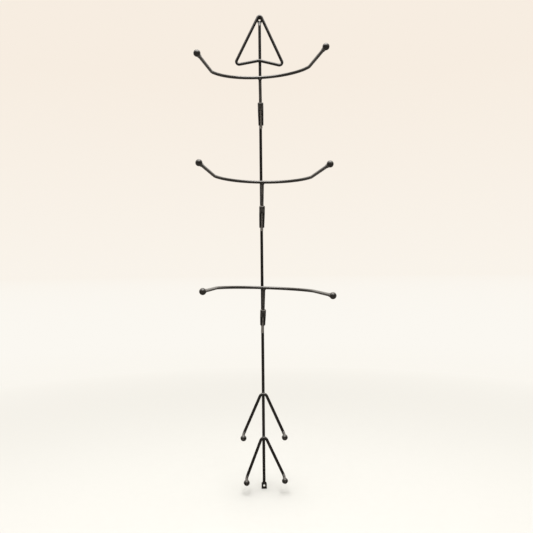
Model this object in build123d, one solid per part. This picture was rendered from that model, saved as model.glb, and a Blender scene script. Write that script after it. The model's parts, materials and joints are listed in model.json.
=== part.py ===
from build123d import *
import math
import os

# Wall hat rack in the form of an arrow, bent and welded from round steel rod.
#
# Frame: millimetres, +Z up, +X to the right of someone facing the rack, which stands
# out from the wall towards -Y.  The origin is the centre of the upper screw hole, on
# the spine's axis.  The spine lies on the wall, so the wall is the plane Y = 3.175.

os.makedirs("parts", exist_ok=True)

# ---------------------------------------------------------------- driving sizes

ROD_D = 6.35                  # every rod and wire of the rack, quarter-inch stock
ROD_R = ROD_D / 2
WELD_GAP = 0.1                # filler metal left between two rods that are welded
RUNNING_CLEARANCE = 0.05      # radial, between a cradle stem and what it turns in

# Spine: one straight rod with both ends pressed flat and drilled for a wall screw.
HOLE_SPACING = 1016.0
HOLE_D = 4.5
TAB_THICKNESS = 2.4
TOP_TAB_W = 10.0
BOTTOM_TAB_W = 11.5
BOTTOM_TAB_ABOVE_HOLE = 8.0
BOTTOM_TAB_BELOW_HOLE = 7.0
BOTTOM_TAB_SHOULDER = 3.8     # radius of its two upper corners
TAB_LAND = 1.5                # flat left between a hole's rim and the taper
TAB_TAPER = 9.0               # length over which the round rod flattens out
TAB_EDGE_ROUND = 0.5

# Arrowhead: one closed wire loop, a tall triangle with a notched base.
ARROW_HALF_ANGLE = 25.5       # from vertical
ARROW_TIP_Z = 12.2            # where the two straight sides would meet
ARROW_NOTCH_Z = -90.0
ARROW_NOTCH_RISE = 12.0       # slope of the base edges, from horizontal
ARROW_ROLL = 1.0              # welded slightly askew, turned about the upper hole
ARROW_TIP_BEND = 4.4
ARROW_CORNER_BEND = 6.0
ARROW_NOTCH_BEND = 12.0

# Fletching: two wires, each an inverted V that ends in two forward pegs.
FLETCHING_TOP_Z = (-815.5, -910.8)
FLETCHING_NAMES = ("upper", "lower")
FLETCHING_ROLL = (0.0, -1.8)  # the lower wire is welded slightly askew
FLETCHING_DROP = (85.7, 83.9)        # from the top of each V down to its pegs
FLETCHING_HALF_SPAN = (43.8, 40.6)   # at the pegs
FLETCHING_TOP_HALF_W = (5.5, 4.9)    # where the legs would meet the level top
FLETCHING_TOP_BEND = 7.0
PEG_BEND = 8.0
PEG_REACH = 38.0              # from the spine's axis to the centre of a peg's ball

# Balls on the free ends.
BALL_D = 12.7                 # half an inch
BALL_BORE_CLEARANCE = 0.02
BALL_NECK_LENGTH = 20.0       # behind the ball's centre, on the cradles only
BALL_NECK_D = 8.6
BALL_NECK_END_D = 7.8

# Tiers: a cradle on a stem that drops into a split socket on the spine.
TIER_NAMES = ("top", "middle", "bottom")
TIER_FOOT_Z = (-238.1, -460.2, -681.5)
TIER_FOOT_X = (0.8, 0.1, -0.6)   # hand-welded sockets: each foot is a little off the axis,
TIER_ROLL = (-1.5, 0.9, 1.7)     # each stem leans a little sideways
TIER_TILT = (4.2, -1.4, 0.9)     # and a little forward (+) or back (-),
CRADLE_ROLL = (-2.8, 0.9, 2.5)   # and each cradle sits a little askew on its stem
CRADLE_YAW = (-0.8, -0.5, 0.4)
STEM_FOOT_OUT = 7.0           # from the spine's axis to the foot of the stem
STEM_LEAN = 21.2              # forward, from vertical
STEM_LENGTH = 106.8           # foot to the middle of the crossbar
STEM_FOOT_CHAMFER = 0.6

SOCKET_START = (7.0, 7.6, 19.0)   # along the stem, up from its foot; the lowest is short
SOCKET_END = 40.0
SOCKET_TOP_D = 12.4
SOCKET_BOTTOM_D = 11.0
SOCKET_SLOT_W = 4.4
SOCKET_RIM_ROUND = 0.5

COLLAR_GAP = 0.3              # between the socket's rim and the collar
COLLAR_D = 12.4
COLLAR_LENGTH = 15.6
COLLAR_TOP_ROUND = 2.4
COLLAR_BOTTOM_ROUND = 0.5

BACK_RADIUS = 102.3           # bowed back of the cradle, in plan
BACK_HALF_ANGLE = 69.2
ARM_BEND = 28.9
ARM_SPLAY = (7.2, 8.4, 7.9)   # of each tier's arms, outwards from straight ahead
CRADLE_REACH = 202.9          # crossbar to ball centre, straight ahead

BEAD = 4.4                    # radius of a weld bead at a crossing
BEAD_DEPTH = 2.6
TIP_BEAD_R = 2.6              # between the top tab and the arrow's tip
SOCKET_WELD_W = 5.0
SOCKET_WELD_H = 14.0
SOCKET_WELD_INSET = 0.2       # how far inside the socket's narrow end the weld may reach

# ---------------------------------------------------------------- derived sizes

FRONT_WIRE_Y = -(ROD_D + WELD_GAP)
JOINT_Y = FRONT_WIRE_Y / 2
HOLE_R = HOLE_D / 2
TAPER_END = HOLE_R + TAB_LAND
COLLAR_START = SOCKET_END + COLLAR_GAP
STEM_BORE_R = ROD_R + RUNNING_CLEARANCE
BALL_BORE_R = ROD_R + BALL_BORE_CLEARANCE


def save(name, *solids):
    """Write one node: its solids, in the rack's own frame."""
    node = Compound(children=list(solids)) if len(solids) > 1 else solids[0]
    export_step(node, f"parts/{name}.step")


def swept_rod(path):
    """Round rod along a path."""
    start = Plane(origin=path @ 0, z_dir=path % 0)
    return sweep(start * Circle(ROD_R), path=path)


def as_solid(shape):
    """The single solid inside a build123d result."""
    return shape.solids()[0]


def bead(place, radius, depth):
    """Lens of weld metal about a joint, thin along the place's Y axis."""
    half = Rectangle(radius, 2 * depth, align=(Align.MIN, Align.CENTER)) & Ellipse(radius, depth)
    return place * revolve(half, axis=Axis.Y)


# ---------------------------------------------------------------- spine

def tab_plate(outline):
    """Flattened end of the spine, on the rod's own middle plane, its edges rounded."""
    plate = extrude(Plane.XZ * outline, amount=TAB_THICKNESS / 2, both=True)
    faces = plate.faces().sort_by(Axis.Y)
    return fillet(faces[0].edges() + faces[-1].edges(), TAB_EDGE_ROUND)


def top_tab():
    """Round-ended tab about the upper hole, with shoulders that run into the rod."""
    eye = Circle(TOP_TAB_W / 2)
    shoulders = Polygon(
        (-TOP_TAB_W / 2, 0),
        (TOP_TAB_W / 2, 0),
        (TOP_TAB_W / 2, -TAPER_END),
        (ROD_R, -TAPER_END - TAB_TAPER / 2),
        (-ROD_R, -TAPER_END - TAB_TAPER / 2),
        (-TOP_TAB_W / 2, -TAPER_END),
        align=None,
    )
    return tab_plate(eye + shoulders)


def bottom_tab():
    """Square-ended tab about the lower hole, with rounded shoulders."""
    body = Pos(0, (BOTTOM_TAB_ABOVE_HOLE - BOTTOM_TAB_BELOW_HOLE) / 2) * Rectangle(
        BOTTOM_TAB_W, BOTTOM_TAB_ABOVE_HOLE + BOTTOM_TAB_BELOW_HOLE
    )
    shoulders = body.vertices().group_by(Axis.Y)[-1]
    body = fillet(shoulders, BOTTOM_TAB_SHOULDER)
    return Pos(0, 0, -HOLE_SPACING) * tab_plate(body)


def flattening_wedge(z, direction):
    """Block that trims the rod from round to the tab's thickness.

    It is as deep as the rod at z and as thick as the tab one taper further on."""
    near = Pos(0, 0, z) * Rectangle(2 * ROD_D, ROD_D)
    end = Pos(0, 0, z + direction * TAB_TAPER) * Rectangle(2 * ROD_D, TAB_THICKNESS)
    return as_solid(loft([near.face(), end.face()]))


def spine_rod():
    round_top = -TAPER_END - TAB_TAPER
    round_bottom = -HOLE_SPACING + TAPER_END + TAB_TAPER
    middle = Pos(0, 0, (round_top + round_bottom) / 2) * Cylinder(
        ROD_R, round_top - round_bottom
    )
    rod_end = Cylinder(ROD_R, TAB_TAPER, align=(Align.CENTER, Align.CENTER, Align.MIN))
    top_end = (Pos(0, 0, round_top) * rod_end) & flattening_wedge(round_top, 1)
    low_end = Pos(0, 0, round_bottom - TAB_TAPER) * rod_end
    low_end = low_end & flattening_wedge(round_bottom, -1)
    rod = middle + top_end + low_end + top_tab() + bottom_tab()
    for z in (0, -HOLE_SPACING):
        rod -= Pos(0, 0, z) * Rot(X=90) * Cylinder(HOLE_R, 2 * ROD_D)
    return as_solid(rod)


# ---------------------------------------------------------------- arrowhead

def arrowhead_wire():
    side = math.tan(math.radians(ARROW_HALF_ANGLE))
    rise = math.tan(math.radians(ARROW_NOTCH_RISE))
    corner_x = (ARROW_TIP_Z - ARROW_NOTCH_Z) * side / (1 - rise * side)
    corner_z = ARROW_NOTCH_Z - corner_x * rise
    flat_x = corner_x / 2
    flat_z = ARROW_NOTCH_Z - flat_x * rise
    loop = FilletPolyline(
        (flat_x, FRONT_WIRE_Y, flat_z),
        (corner_x, FRONT_WIRE_Y, corner_z),
        (0, FRONT_WIRE_Y, ARROW_TIP_Z),
        (-corner_x, FRONT_WIRE_Y, corner_z),
        (0, FRONT_WIRE_Y, ARROW_NOTCH_Z),
        (flat_x, FRONT_WIRE_Y, flat_z),
        radius=(0, ARROW_CORNER_BEND, ARROW_TIP_BEND, ARROW_CORNER_BEND, ARROW_NOTCH_BEND),
    )
    return Rot(Y=ARROW_ROLL) * as_solid(swept_rod(loop))


def arrowhead_welds(spine, wire):
    """Beads where the loop crosses the spine and where its tip meets the top tab."""
    notch = bead(Pos(0, JOINT_Y, ARROW_NOTCH_Z), BEAD, BEAD_DEPTH)
    tip = Pos(0, JOINT_Y, TOP_TAB_W / 2) * Sphere(TIP_BEAD_R)
    return [as_solid(one - spine - wire) for one in (notch, tip)]


# ---------------------------------------------------------------- fletching

def fletching_place(index):
    """Where a V's top is: in front of the spine, at its own height and lean."""
    place = Pos(0, FRONT_WIRE_Y, FLETCHING_TOP_Z[index])
    return place * Rot(Y=FLETCHING_ROLL[index])


def peg_ball_centre(index, side):
    """Ball centre in the V's own frame, with its top at the origin."""
    x = side * FLETCHING_HALF_SPAN[index]
    return (x, -PEG_REACH - FRONT_WIRE_Y, -FLETCHING_DROP[index])


def fletching_wire(index):
    top = FLETCHING_TOP_HALF_W[index]
    span = FLETCHING_HALF_SPAN[index]
    drop = FLETCHING_DROP[index]
    path = FilletPolyline(
        peg_ball_centre(index, -1),
        (-span, 0, -drop),
        (-top, 0, 0),
        (top, 0, 0),
        (span, 0, -drop),
        peg_ball_centre(index, 1),
        radius=(PEG_BEND, FLETCHING_TOP_BEND, FLETCHING_TOP_BEND, PEG_BEND),
    )
    return fletching_place(index) * as_solid(swept_rod(path))


def peg_ball(index, side):
    """Plain ball with a blind bore for the peg."""
    ball = Sphere(BALL_D / 2)
    bore = Cylinder(BALL_BORE_R, BALL_D, align=(Align.CENTER, Align.CENTER, Align.MIN))
    ball -= Rot(X=-90) * bore
    return as_solid(fletching_place(index) * Pos(*peg_ball_centre(index, side)) * ball)


def fletching_weld(index, spine, wire):
    joint = bead(Pos(0, JOINT_Y, FLETCHING_TOP_Z[index]), BEAD, BEAD_DEPTH)
    return as_solid(joint - spine - wire)


# ---------------------------------------------------------------- tiers
# A tier is drawn along its stem: +Z runs up the stem from its foot, -Y faces front.

def tier_place(index):
    """From the stem's own frame to the rack's frame."""
    foot = Pos(TIER_FOOT_X[index], -STEM_FOOT_OUT, TIER_FOOT_Z[index])
    seat = Rot(Y=TIER_ROLL[index]) * Rot(X=TIER_TILT[index])
    return foot * seat * Rot(X=STEM_LEAN)


def cradle_frame(index):
    """Frame of the cradle at the top of the stem, level but for its own small lean."""
    upright = Pos(0, 0, STEM_LENGTH) * Rot(X=-STEM_LEAN - TIER_TILT[index])
    askew = Rot(Y=CRADLE_ROLL[index] - TIER_ROLL[index]) * Rot(X=TIER_TILT[index])
    return upright * askew * Rot(Z=CRADLE_YAW[index])


def cradle_arm(index, side):
    """Half of the cradle's path, from the middle of its back to the ball."""
    splay = ARM_SPLAY[index]
    back = JernArc((0, 0), (side, 0), BACK_RADIUS, -side * BACK_HALF_ANGLE)
    turn = 90 - splay - BACK_HALF_ANGLE
    bend = JernArc(back @ 1, back % 1, ARM_BEND, -side * turn)
    ahead = CRADLE_REACH + (bend @ 1).Y
    arm = Line(bend @ 1, (bend @ 1) + (bend % 1) * (ahead / math.cos(math.radians(splay))))
    return back, bend, arm


def cradle_wire(index):
    back_l, bend_l, arm_l = cradle_arm(index, -1)
    back_r, bend_r, arm_r = cradle_arm(index, 1)
    halves = []
    for pieces in ((back_l, bend_l, arm_l), (back_r, bend_r, arm_r)):
        halves.append(as_solid(swept_rod(Wire([edge.edge() for edge in pieces]))))
    return cradle_frame(index) * as_solid(halves[0] + halves[1])


def cradle_ball(index, side):
    """Ball with a tapered neck that grips the end of the arm."""
    neck = Cone(
        BALL_NECK_END_D / 2,
        BALL_NECK_D / 2,
        BALL_NECK_LENGTH,
        align=(Align.CENTER, Align.CENTER, Align.MAX),
    )
    bore = Cylinder(
        BALL_BORE_R, 2 * BALL_NECK_LENGTH, align=(Align.CENTER, Align.CENTER, Align.MAX)
    )
    tip = Sphere(BALL_D / 2) + neck - bore
    arm = cradle_arm(index, side)[2]
    arm_end = Plane(origin=arm @ 1, z_dir=arm % 1).location
    return cradle_frame(index) * arm_end * tip


def cradle_stem(wire):
    """Straight rod, coped at the top where it meets the crossbar."""
    rod = Cylinder(ROD_R, STEM_LENGTH, align=(Align.CENTER, Align.CENTER, Align.MIN))
    foot = rod.edges().sort_by(Axis.Z)[0]
    rod = chamfer(foot, STEM_FOOT_CHAMFER)
    return (rod - wire).solids().sort_by(Axis.Z)[0]


def cradle_weld(wire, stem):
    joint = bead(Pos(0, 0, STEM_LENGTH - ROD_R) * Rot(X=90), BEAD, BEAD_DEPTH)
    return as_solid(joint - wire - stem)


def collar():
    """Ring on the stem that sits on the socket's rim."""
    ring = Cylinder(
        COLLAR_D / 2, COLLAR_LENGTH, align=(Align.CENTER, Align.CENTER, Align.MIN)
    )
    ring = fillet(ring.edges().group_by(Axis.Z)[-1], COLLAR_TOP_ROUND)
    ring = fillet(ring.edges().group_by(Axis.Z)[0], COLLAR_BOTTOM_ROUND)
    bore = Cylinder(STEM_BORE_R, 3 * COLLAR_LENGTH)
    return as_solid(Pos(0, 0, COLLAR_START) * (ring - bore))


def socket(index):
    """Slightly tapered tube with a slot down its front that shows the stem."""
    length = SOCKET_END - SOCKET_START[index]
    tube = Cone(
        SOCKET_BOTTOM_D / 2,
        SOCKET_TOP_D / 2,
        length,
        align=(Align.CENTER, Align.CENTER, Align.MIN),
    )
    rims = tube.edges().filter_by(GeomType.CIRCLE)
    tube = fillet(rims, SOCKET_RIM_ROUND)
    slot = Box(
        SOCKET_SLOT_W,
        SOCKET_TOP_D,
        3 * length,
        align=(Align.CENTER, Align.MAX, Align.CENTER),
    )
    bore = Cylinder(STEM_BORE_R, 3 * length)
    return as_solid(Pos(0, 0, SOCKET_START[index]) * (tube - bore - slot))


def socket_weld(index, spine, tube):
    """Weld metal that fills the narrow angle between the socket and the spine."""
    block = Pos(0, 0, TIER_FOOT_Z[index] + SOCKET_START[index]) * Box(
        SOCKET_WELD_W, 2 * SOCKET_TOP_D, SOCKET_WELD_H, align=(Align.CENTER, Align.MAX, Align.MIN)
    )
    core = tier_place(index) * Cylinder(SOCKET_BOTTOM_D / 2 - SOCKET_WELD_INSET, 2 * STEM_LENGTH)
    return (block - spine - tube - core).solids().sort_by(Axis.Y)[-1]


# ---------------------------------------------------------------- write the parts

def build_back():
    spine = spine_rod()
    save("spine_rod", spine)
    arrow = arrowhead_wire()
    save("arrowhead_wire", arrow)
    save("arrowhead_welds", *arrowhead_welds(spine, arrow))
    for index, name in enumerate(FLETCHING_NAMES):
        wire = fletching_wire(index)
        save(f"{name}_fletching_wire", wire)
        save(f"{name}_fletching_weld", fletching_weld(index, spine, wire))
        save(f"{name}_peg_ball_left", peg_ball(index, -1))
        save(f"{name}_peg_ball_right", peg_ball(index, 1))
    return spine


def build_tier(index, spine):
    name = TIER_NAMES[index]
    place = tier_place(index)
    wire = cradle_wire(index)
    stem = cradle_stem(wire)
    tube = place * socket(index)
    save(f"{name}_cradle_wire", place * wire)
    save(f"{name}_cradle_stem", place * stem)
    save(f"{name}_cradle_weld", place * cradle_weld(wire, stem))
    save(f"{name}_cradle_ball_left", place * as_solid(cradle_ball(index, -1)))
    save(f"{name}_cradle_ball_right", place * as_solid(cradle_ball(index, 1)))
    save(f"{name}_collar", place * collar())
    save(f"{name}_socket", tube)
    save(f"{name}_socket_weld", socket_weld(index, spine, tube))


spine = build_back()
for index in range(len(TIER_NAMES)):
    build_tier(index, spine)
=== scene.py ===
"""Looks for a wall hat rack shaped like an arrow: black enamel on bent steel rod.

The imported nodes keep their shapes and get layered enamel.  The weld beads are replaced by
rippled ones.  Everything is in metres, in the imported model's frame."""
import json
import math

import bpy
from mathutils import Matrix, Vector, noise


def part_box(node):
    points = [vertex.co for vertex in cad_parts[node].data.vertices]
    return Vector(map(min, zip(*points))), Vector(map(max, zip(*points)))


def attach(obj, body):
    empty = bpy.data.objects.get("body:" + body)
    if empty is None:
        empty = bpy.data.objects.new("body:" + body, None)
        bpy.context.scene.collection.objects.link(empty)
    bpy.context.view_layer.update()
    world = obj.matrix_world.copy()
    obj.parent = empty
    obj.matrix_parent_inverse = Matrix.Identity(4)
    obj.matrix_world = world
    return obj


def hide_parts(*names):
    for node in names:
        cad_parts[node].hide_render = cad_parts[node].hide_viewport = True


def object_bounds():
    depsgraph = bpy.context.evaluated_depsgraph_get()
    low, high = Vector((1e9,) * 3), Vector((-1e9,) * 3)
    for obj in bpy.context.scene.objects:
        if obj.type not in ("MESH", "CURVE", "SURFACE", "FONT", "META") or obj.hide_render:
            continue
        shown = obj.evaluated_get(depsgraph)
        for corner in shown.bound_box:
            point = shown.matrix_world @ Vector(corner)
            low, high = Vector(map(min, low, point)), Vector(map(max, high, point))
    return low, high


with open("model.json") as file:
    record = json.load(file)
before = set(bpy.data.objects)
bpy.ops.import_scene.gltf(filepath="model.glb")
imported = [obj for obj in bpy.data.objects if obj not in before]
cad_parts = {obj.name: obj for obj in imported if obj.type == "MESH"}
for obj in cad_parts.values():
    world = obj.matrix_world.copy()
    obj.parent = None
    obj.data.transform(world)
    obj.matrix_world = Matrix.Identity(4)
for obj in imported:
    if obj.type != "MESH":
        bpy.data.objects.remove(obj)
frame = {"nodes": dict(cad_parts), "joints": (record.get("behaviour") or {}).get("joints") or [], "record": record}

CAD_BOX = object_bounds()

# ---------------------------------------------------------------- driving values

MM = 0.001
TIERS = ("top", "middle", "bottom")
FLETCHINGS = ("upper", "lower")
SIDES = ("left", "right")

ENAMEL = (0.0046, 0.0040, 0.0034)        # deep parts of the paint
ENAMEL_THIN = (0.0110, 0.0092, 0.0078)   # where it lies thinner
HANDLED = (0.0230, 0.0205, 0.0180)       # the balls, made dull by handling
PAINTED_REFLECTION_GREY = (0.062, 0.056, 0.050)      # painted reflection: lighter grey on collars and stems, standing for the bright floor they mirror
SLOT_LIGHT_GREY = (0.19, 0.175, 0.16)          # painted light: stems inside their sockets, lightened where the slot shades them
DUST = (0.30, 0.27, 0.235)
BARE_STEEL = (0.36, 0.33, 0.30)
ENAMEL_IOR = 1.62
SCUFF_STRETCH = 0.12                     # scuffs run up and down the rods

# Wear: inner and outer radius about a place, full wear inside the first.
HOLE_WEAR = (2.4 * MM, 4.4 * MM)
PEG_BALL_WEAR = (0.4 * MM, 2.4 * MM)
SOCKET_FOOT_WEAR = (5.0 * MM, 7.0 * MM)
STEM_FOOT_WEAR = (1.0 * MM, 5.0 * MM)
COLLAR_TOP_WEAR = (1.0 * MM, 6.0 * MM)
# Painted light, not wear: radii of the lightened stretch of a stem in its socket's shaded slot.
SLOT_LIGHT_RADII = (19.0 * MM, 21.0 * MM)

# Places on a stem, measured up its axis from its foot.
SOCKET_FOOT = 6 * MM
# Middle of the painted light on a stem inside its socket's slot.
SLOT_LIGHT_MIDDLE = 20 * MM
ABOVE_COLLAR = 58 * MM

WELD_VOXEL = 0.4 * MM
WELD_RIPPLE = 0.22 * MM
WELD_GRAIN = 1.3 * MM
FACE_WELD_SCALES = 9
SOCKET_WELD_SCALES = 5
CRADLE_WELD_SCALES = 8

# The camera, as the rack was photographed: nearly square on, half way up, a little left.
CAMERA_DISTANCE = 1.313
CAMERA_AZIMUTH = 2.0                     # degrees, the rack turned past square on
CAMERA_ROLL = -0.577                     # degrees
CAMERA_LENS = 40.5                       # mm, on a sensor this wide
SENSOR_WIDTH = 36.0
AIM = Vector((0.0100, 0.0026, -0.5379))

BACKDROP_TOP = (0.930, 0.847, 0.753)
BACKDROP_HORIZON = (0.952, 0.900, 0.825)
FLOOR_BOARD = (0.512, 0.522, 0.519)
FLOOR_BOARD_PALE = (0.528, 0.538, 0.535)
FLOOR_MIDDLE = (0.965, 0.937, 0.880)
FLOOR_NEAR = (0.955, 0.922, 0.850)
MIRRORED_FLOOR = (0.14, 0.13, 0.12)      # what the rack's gloss sees of the floor
FLOOR_HALF = 60.0
SOFTBOX_PLACE = (0.0, -0.5, 1.1)
SOFTBOX_SIZE = (1.6, 1.6)
SOFTBOX_POWER = 52.0                     # watts
SOFTBOX_COLOUR = (1.0, 0.97, 0.93)


# ---------------------------------------------------------------- shader helpers

class Graph:
    """A material's or world's node tree, with short calls for the nodes used here."""

    def __init__(self, tree):
        self.tree = tree
        self.tree.nodes.clear()

    def node(self, kind, **settings):
        made = self.tree.nodes.new(kind)
        for name, value in settings.items():
            setattr(made, name, value)
        return made

    def put(self, socket, value):
        """Links an output to a socket, or sets the socket to a constant."""
        if isinstance(value, bpy.types.NodeSocket):
            self.tree.links.new(value, socket)
        elif isinstance(value, tuple) and len(value) == 3 and len(socket.default_value) == 4:
            socket.default_value = (*value, 1.0)
        else:
            socket.default_value = value

    def math(self, operation, a, b=0.0, clamp=False):
        made = self.node("ShaderNodeMath", operation=operation, use_clamp=clamp)
        self.put(made.inputs[0], a)
        self.put(made.inputs[1], b)
        return made.outputs[0]

    def noise(self, coords, scale, detail=3.0, roughness=0.55, distortion=0.0):
        made = self.node("ShaderNodeTexNoise")
        self.put(made.inputs["Vector"], coords)
        self.put(made.inputs["Scale"], scale)
        self.put(made.inputs["Detail"], detail)
        self.put(made.inputs["Roughness"], roughness)
        self.put(made.inputs["Distortion"], distortion)
        return made.outputs["Fac"]

    def remap(self, value, from_low, from_high, to_low, to_high):
        made = self.node("ShaderNodeMapRange", clamp=True)
        self.put(made.inputs["Value"], value)
        self.put(made.inputs["From Min"], from_low)
        self.put(made.inputs["From Max"], from_high)
        self.put(made.inputs["To Min"], to_low)
        self.put(made.inputs["To Max"], to_high)
        return made.outputs["Result"]

    def mix(self, factor, a, b):
        made = self.node("ShaderNodeMix", data_type="RGBA")
        self.put(made.inputs[0], factor)
        self.put(made.inputs[6], a)
        self.put(made.inputs[7], b)
        return made.outputs[2]

    def bump(self, height, strength, distance, normal=None):
        made = self.node("ShaderNodeBump")
        self.put(made.inputs["Height"], height)
        self.put(made.inputs["Strength"], strength)
        self.put(made.inputs["Distance"], distance)
        if normal is not None:
            self.put(made.inputs["Normal"], normal)
        return made.outputs["Normal"]

    def near(self, coords, point, inner, outer):
        """One inside the inner radius about a point, falling to zero at the outer one."""
        made = self.node("ShaderNodeVectorMath", operation="DISTANCE")
        self.put(made.inputs[0], coords)
        made.inputs[1].default_value = point
        return self.remap(made.outputs["Value"], inner, outer, 1.0, 0.0)


# ---------------------------------------------------------------- materials

def wear_mask(graph, coords, places):
    """Chipped and rubbed paint about a few places, broken up by noise."""
    mask = 0.0
    for point, inner, outer in places:
        mask = graph.math("MAXIMUM", mask, graph.near(coords, point, inner, outer))
    chips = graph.noise(coords, 900.0, 5.0, 0.7, 0.4)
    threshold = graph.math("MULTIPLY", mask, 0.62)
    return graph.remap(graph.math("ADD", chips, threshold), 0.98, 1.04, 0.0, 1.0)


def enamel(
    name, thin=ENAMEL_THIN, gloss=0.16, dust=0.16, worn=(), grain=42.0, shine=0.45, slot_light=None
):
    """Dipped black enamel: faint orange peel and runs, scuffs, dust on top, worn joints.

    slid is a place on a stem that is lightened to grey as painted light against the shade of its socket's slot,
    with its inner and outer radius."""
    made = bpy.data.materials.new(name)
    made.use_nodes = True
    graph = Graph(made.node_tree)
    coords = graph.node("ShaderNodeTexCoord").outputs["Object"]
    normal = graph.node("ShaderNodeNewGeometry").outputs["Normal"]

    tone = graph.noise(coords, grain, 4.0)
    paint = graph.mix(graph.remap(tone, 0.35, 0.68, 0.0, 1.0), ENAMEL, thin)
    # Painted light: grey streaks lighten the stretch of stem that the socket's slot shades.
    if slot_light:
        slot_light_streaks = graph.remap(graph.noise(coords, 420.0, 4.0), 0.3, 0.6, 0.55, 1.0)
        slot_lightening = graph.math("MULTIPLY", graph.near(coords, *slot_light), slot_light_streaks)
        paint = graph.mix(slot_lightening, paint, SLOT_LIGHT_GREY)

    split = graph.node("ShaderNodeSeparateXYZ")
    graph.put(split.inputs[0], normal)
    upward = graph.remap(split.outputs["Z"], 0.25, 0.95, 0.0, 1.0)
    settled = graph.remap(graph.noise(coords, 230.0, 5.0, 0.65), 0.38, 0.66, 0.25, 1.0)
    dusting = graph.math("MULTIPLY", graph.math("MULTIPLY", upward, settled), dust)
    colour = graph.mix(dusting, paint, DUST)

    stretch = graph.node("ShaderNodeMapping")
    graph.put(stretch.inputs["Vector"], coords)
    stretch.inputs["Scale"].default_value = (1.0, 1.0, SCUFF_STRETCH)
    scuffs = graph.remap(graph.noise(stretch.outputs[0], 700.0, 4.0, 0.7), 0.60, 0.74, 0.0, 1.0)
    rough = graph.remap(graph.noise(coords, 310.0, 4.0), 0.3, 0.7, gloss, gloss + 0.10)
    rough = graph.math("ADD", rough, graph.math("MULTIPLY", scuffs, 0.14))
    rough = graph.math("ADD", rough, graph.math("MULTIPLY", dusting, 0.4), clamp=True)
    rubbed = wear_mask(graph, coords, worn) if worn else 0.0
    if worn:
        colour = graph.mix(rubbed, colour, BARE_STEEL)

    peel = graph.bump(graph.noise(coords, 1500.0, 2.0), 0.05, 0.10 * MM)
    runs = graph.bump(graph.noise(coords, 190.0, 2.0), 0.08, 0.4 * MM, peel)
    surface = graph.bump(rubbed, 0.35, -0.08 * MM, runs) if worn else runs

    shader = graph.node("ShaderNodeBsdfPrincipled")
    graph.put(shader.inputs["Base Color"], colour)
    graph.put(shader.inputs["Roughness"], rough)
    graph.put(shader.inputs["Metallic"], rubbed)
    graph.put(shader.inputs["Normal"], surface)
    shader.inputs["Specular IOR Level"].default_value = shine
    shader.inputs["IOR"].default_value = ENAMEL_IOR
    output = graph.node("ShaderNodeOutputMaterial")
    graph.put(output.inputs["Surface"], shader.outputs["BSDF"])
    return made


def paint_node(name, material):
    """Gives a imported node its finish."""
    node = frame["nodes"][name]
    node.data.materials.clear()
    node.data.materials.append(material)


# ---------------------------------------------------------------- places on the rack

def centre(name):
    low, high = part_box(name)
    return (Vector(low) + Vector(high)) / 2


def mount_place(name):
    for mount in frame["record"]["mounts"]:
        if mount["name"] == name:
            return Vector(mount["pos_m"])
    raise ValueError(name)


def stem_axis(tier):
    """Foot and direction of a tier's stem, from its swivel joint."""
    for joint in frame["joints"]:
        if joint["name"] == f"{tier}_swivel":
            return Vector(joint["pos_m"]), Vector(joint["axis"]).normalized()
    raise ValueError(tier)


# ---------------------------------------------------------------- rippled welds

def remeshed(node, voxel):
    """A closed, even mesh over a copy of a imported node's shape."""
    rough = bpy.data.objects.new("remesh_source", node.data.copy())
    bpy.context.scene.collection.objects.link(rough)
    remesh = rough.modifiers.new("voxels", "REMESH")
    remesh.mode = "VOXEL"
    remesh.voxel_size = voxel
    smooth = rough.modifiers.new("soften", "SMOOTH")
    smooth.iterations = 4
    graph = bpy.context.evaluated_depsgraph_get()
    mesh = bpy.data.meshes.new_from_object(rough.evaluated_get(graph))
    bpy.data.objects.remove(rough)
    return mesh


def ripple(mesh, middle, axis, folds, height):
    """Raises the overlapping scales that a weld pool leaves, turning about an axis."""
    across = axis.orthogonal().normalized()
    beside = axis.cross(across)
    for vertex in mesh.vertices:
        arm = vertex.co - middle
        angle = math.atan2(arm.dot(beside), arm.dot(across))
        scale = abs(math.sin(folds * angle / 2))
        grain = noise.noise(vertex.co / WELD_GRAIN)
        vertex.co += vertex.normal * height * (scale - 0.5 + 0.6 * grain)


def weld_piece(node_name, body, axis, material, folds=FACE_WELD_SCALES):
    """A weld with scales and spatter-soft edges in place of a node's plain bead."""
    node = frame["nodes"][node_name]
    mesh = remeshed(node, WELD_VOXEL)
    parts = [Vector(vertex.co) for vertex in mesh.vertices]
    middle = sum(parts, Vector()) / len(parts)
    ripple(mesh, middle, axis, folds, WELD_RIPPLE)
    mesh.polygons.foreach_set("use_smooth", [True] * len(mesh.polygons))
    mesh.materials.clear()
    mesh.materials.append(material)
    piece = bpy.data.objects.new(f"{node_name}_rippled", mesh)
    bpy.context.scene.collection.objects.link(piece)
    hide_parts(node_name)
    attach(piece, body)


# ---------------------------------------------------------------- finish of every piece

def finish_back():
    upper = mount_place("upper_screw_hole")
    lower = mount_place("lower_screw_hole")
    holes = [(upper, *HOLE_WEAR), (lower, *HOLE_WEAR)]
    paint_node("spine_rod", enamel("spine_enamel", worn=holes, grain=38.0))
    paint_node("arrowhead_wire", enamel("arrowhead_enamel", grain=47.0))
    for name in FLETCHINGS:
        paint_node(f"{name}_fletching_wire", enamel(f"{name}_fletching_enamel", grain=52.0))
        for side in SIDES:
            ball = f"{name}_peg_ball_{side}"
            front = centre(ball)
            front.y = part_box(ball)[0][1]
            worn = [(front, *PEG_BALL_WEAR)]
            paint_node(ball, enamel(f"{ball}_enamel", HANDLED, 0.22, 0.2, worn, 90.0))


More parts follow.
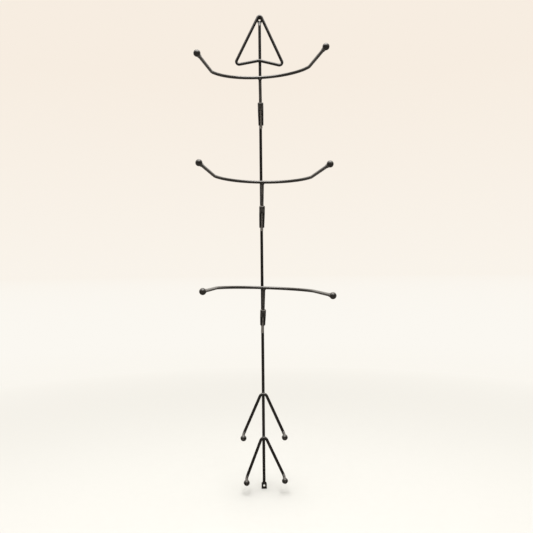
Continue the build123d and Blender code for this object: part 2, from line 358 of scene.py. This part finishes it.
def finish_tier(tier):
    foot, axis = stem_axis(tier)
    socket_wear = [(foot + axis * SOCKET_FOOT, *SOCKET_FOOT_WEAR)]
    stem_wear = [(foot, *STEM_FOOT_WEAR), (foot + axis * ABOVE_COLLAR, *COLLAR_TOP_WEAR)]
    tube = enamel(f"{tier}_socket_enamel", gloss=0.30, dust=0.04, worn=socket_wear, shine=0.20)
    paint_node(f"{tier}_socket", tube)
    # Painted reflection: collars and stems are lightened to grey for the bright floor they mirror.
    collar = enamel(f"{tier}_collar_enamel", PAINTED_REFLECTION_GREY, 0.26, 0.5, grain=150.0)
    paint_node(f"{tier}_collar", collar)
    # Painted light on the stem inside the socket's slot.
    slot_light = (foot + axis * SLOT_LIGHT_MIDDLE, *SLOT_LIGHT_RADII)
    stem = enamel(f"{tier}_stem_enamel", PAINTED_REFLECTION_GREY, 0.20, 0.2, stem_wear, 60.0, slot_light=slot_light)
    paint_node(f"{tier}_cradle_stem", stem)
    paint_node(f"{tier}_cradle_wire", enamel(f"{tier}_cradle_enamel", gloss=0.20, dust=0.2, shine=0.7))
    for side in SIDES:
        ball = f"{tier}_cradle_ball_{side}"
        paint_node(ball, enamel(f"{ball}_enamel", HANDLED, 0.24, 0.24, grain=90.0))


def finish_welds():
    weld_paint = enamel("weld_enamel", gloss=0.30, dust=0.1, grain=120.0, shine=0.3)
    out = Vector((0, 1, 0))
    weld_piece("arrowhead_welds", "rack", out, weld_paint)
    for name in FLETCHINGS:
        weld_piece(f"{name}_fletching_weld", "rack", out, weld_paint)
    for tier in TIERS:
        axis = stem_axis(tier)[1]
        weld_piece(f"{tier}_socket_weld", "rack", axis, weld_paint, SOCKET_WELD_SCALES)
        body = f"{tier}_cradle_body"
        weld_piece(f"{tier}_cradle_weld", body, axis, weld_paint, CRADLE_WELD_SCALES)


# ---------------------------------------------------------------- stage, light, camera

def make_floor():
    """A wide pale floor just under the rack that fades into the backdrop's own colour."""
    low = CAD_BOX[0][2]
    half = FLOOR_HALF
    mesh = bpy.data.meshes.new("floor")
    corners = [(-half, -half, low), (half, -half, low), (half, half, low), (-half, half, low)]
    mesh.from_pydata(corners, [], [(0, 1, 2, 3)])
    floor = bpy.data.objects.new("floor", mesh)
    bpy.context.scene.collection.objects.link(floor)

    made = bpy.data.materials.new("pale_floor")
    made.use_nodes = True
    graph = Graph(made.node_tree)
    coords = graph.node("ShaderNodeTexCoord").outputs["Object"]
    under = (0.0, 0.0, low)
    board = graph.node("ShaderNodeBsdfDiffuse")
    grain = graph.noise(coords, 60.0, 4.0)
    graph.put(board.inputs["Color"], graph.mix(grain, FLOOR_BOARD, FLOOR_BOARD_PALE))
    haze = graph.node("ShaderNodeEmission")
    far = graph.mix(graph.near(coords, under, 3.0, 30.0), BACKDROP_HORIZON, FLOOR_MIDDLE)
    near = graph.near(coords, under, 0.6, 2.5)
    graph.put(haze.inputs["Color"], graph.mix(near, far, FLOOR_NEAR))
    blend = graph.node("ShaderNodeMixShader")
    graph.put(blend.inputs[0], graph.near(coords, under, 0.2, 1.6))
    graph.put(blend.inputs[1], haze.outputs[0])
    graph.put(blend.inputs[2], board.outputs[0])
    dim = graph.node("ShaderNodeBsdfDiffuse")
    graph.put(dim.inputs["Color"], MIRRORED_FLOOR)
    path = graph.node("ShaderNodeLightPath")
    shown = graph.node("ShaderNodeMixShader")
    graph.put(shown.inputs[0], path.outputs["Is Glossy Ray"])
    graph.put(shown.inputs[1], blend.outputs[0])
    graph.put(shown.inputs[2], dim.outputs[0])
    output = graph.node("ShaderNodeOutputMaterial")
    graph.put(output.inputs["Surface"], shown.outputs[0])
    mesh.materials.append(made)


def make_world():
    """Cream studio surround: pale backdrop and ceiling, dim room behind the camera."""
    world = bpy.data.worlds.new("studio")
    bpy.context.scene.world = world
    world.use_nodes = True
    graph = Graph(world.node_tree)
    direction = graph.node("ShaderNodeTexCoord").outputs["Generated"]
    split = graph.node("ShaderNodeSeparateXYZ")
    graph.put(split.inputs[0], direction)
    height = graph.remap(split.outputs["Z"], 0.0, 0.30, 0.0, 1.0)
    seen = graph.node("ShaderNodeBackground")
    graph.put(seen.inputs["Color"], graph.mix(height, BACKDROP_HORIZON, BACKDROP_TOP))
    front = graph.remap(split.outputs["Y"], 0.05, 0.60, 0.03, 1.0)
    overhead = graph.remap(split.outputs["Z"], 0.25, 0.75, 0.0, 1.1)
    room = graph.node("ShaderNodeBackground")
    graph.put(room.inputs["Color"], BACKDROP_HORIZON)
    graph.put(room.inputs["Strength"], graph.math("ADD", front, overhead))
    path = graph.node("ShaderNodeLightPath")
    blend = graph.node("ShaderNodeMixShader")
    graph.put(blend.inputs[0], path.outputs["Is Camera Ray"])
    graph.put(blend.inputs[1], room.outputs[0])
    graph.put(blend.inputs[2], seen.outputs[0])
    output = graph.node("ShaderNodeOutputWorld")
    graph.put(output.inputs["Surface"], blend.outputs[0])


def softbox(name, place, target, size, power):
    light = bpy.data.lights.new(name, "AREA")
    light.shape = "RECTANGLE"
    light.size, light.size_y = size
    light.energy = power
    light.color = SOFTBOX_COLOUR
    lamp = bpy.data.objects.new(name, light)
    lamp.location = place
    lamp.rotation_euler = (Vector(target) - Vector(place)).to_track_quat("-Z", "Y").to_euler()
    bpy.context.scene.collection.objects.link(lamp)


def make_lights():
    """One wide softbox above and in front; the world gives the rest."""
    middle = (CAD_BOX[0] + CAD_BOX[1]) / 2
    softbox("overhead", SOFTBOX_PLACE, middle, SOFTBOX_SIZE, SOFTBOX_POWER)


def make_camera():
    data = bpy.data.cameras.new("camera")
    data.lens = CAMERA_LENS
    data.sensor_width = SENSOR_WIDTH
    data.clip_end = 100.0
    camera = bpy.data.objects.new("camera", data)
    turn = math.radians(CAMERA_AZIMUTH)
    back = Vector((-math.sin(turn), -math.cos(turn), 0.0))
    camera.location = AIM + back * CAMERA_DISTANCE
    aimed = (-back).to_track_quat("-Z", "Y").to_matrix().to_4x4()
    rolled = aimed @ Matrix.Rotation(math.radians(CAMERA_ROLL), 4, "Z")
    camera.rotation_euler = rolled.to_euler()
    bpy.context.scene.collection.objects.link(camera)
    bpy.context.scene.camera = camera


finish_back()
for tier_name in TIERS:
    finish_tier(tier_name)
finish_welds()
make_floor()
make_world()
make_lights()
make_camera()
bpy.context.scene.view_settings.view_transform = "Standard"
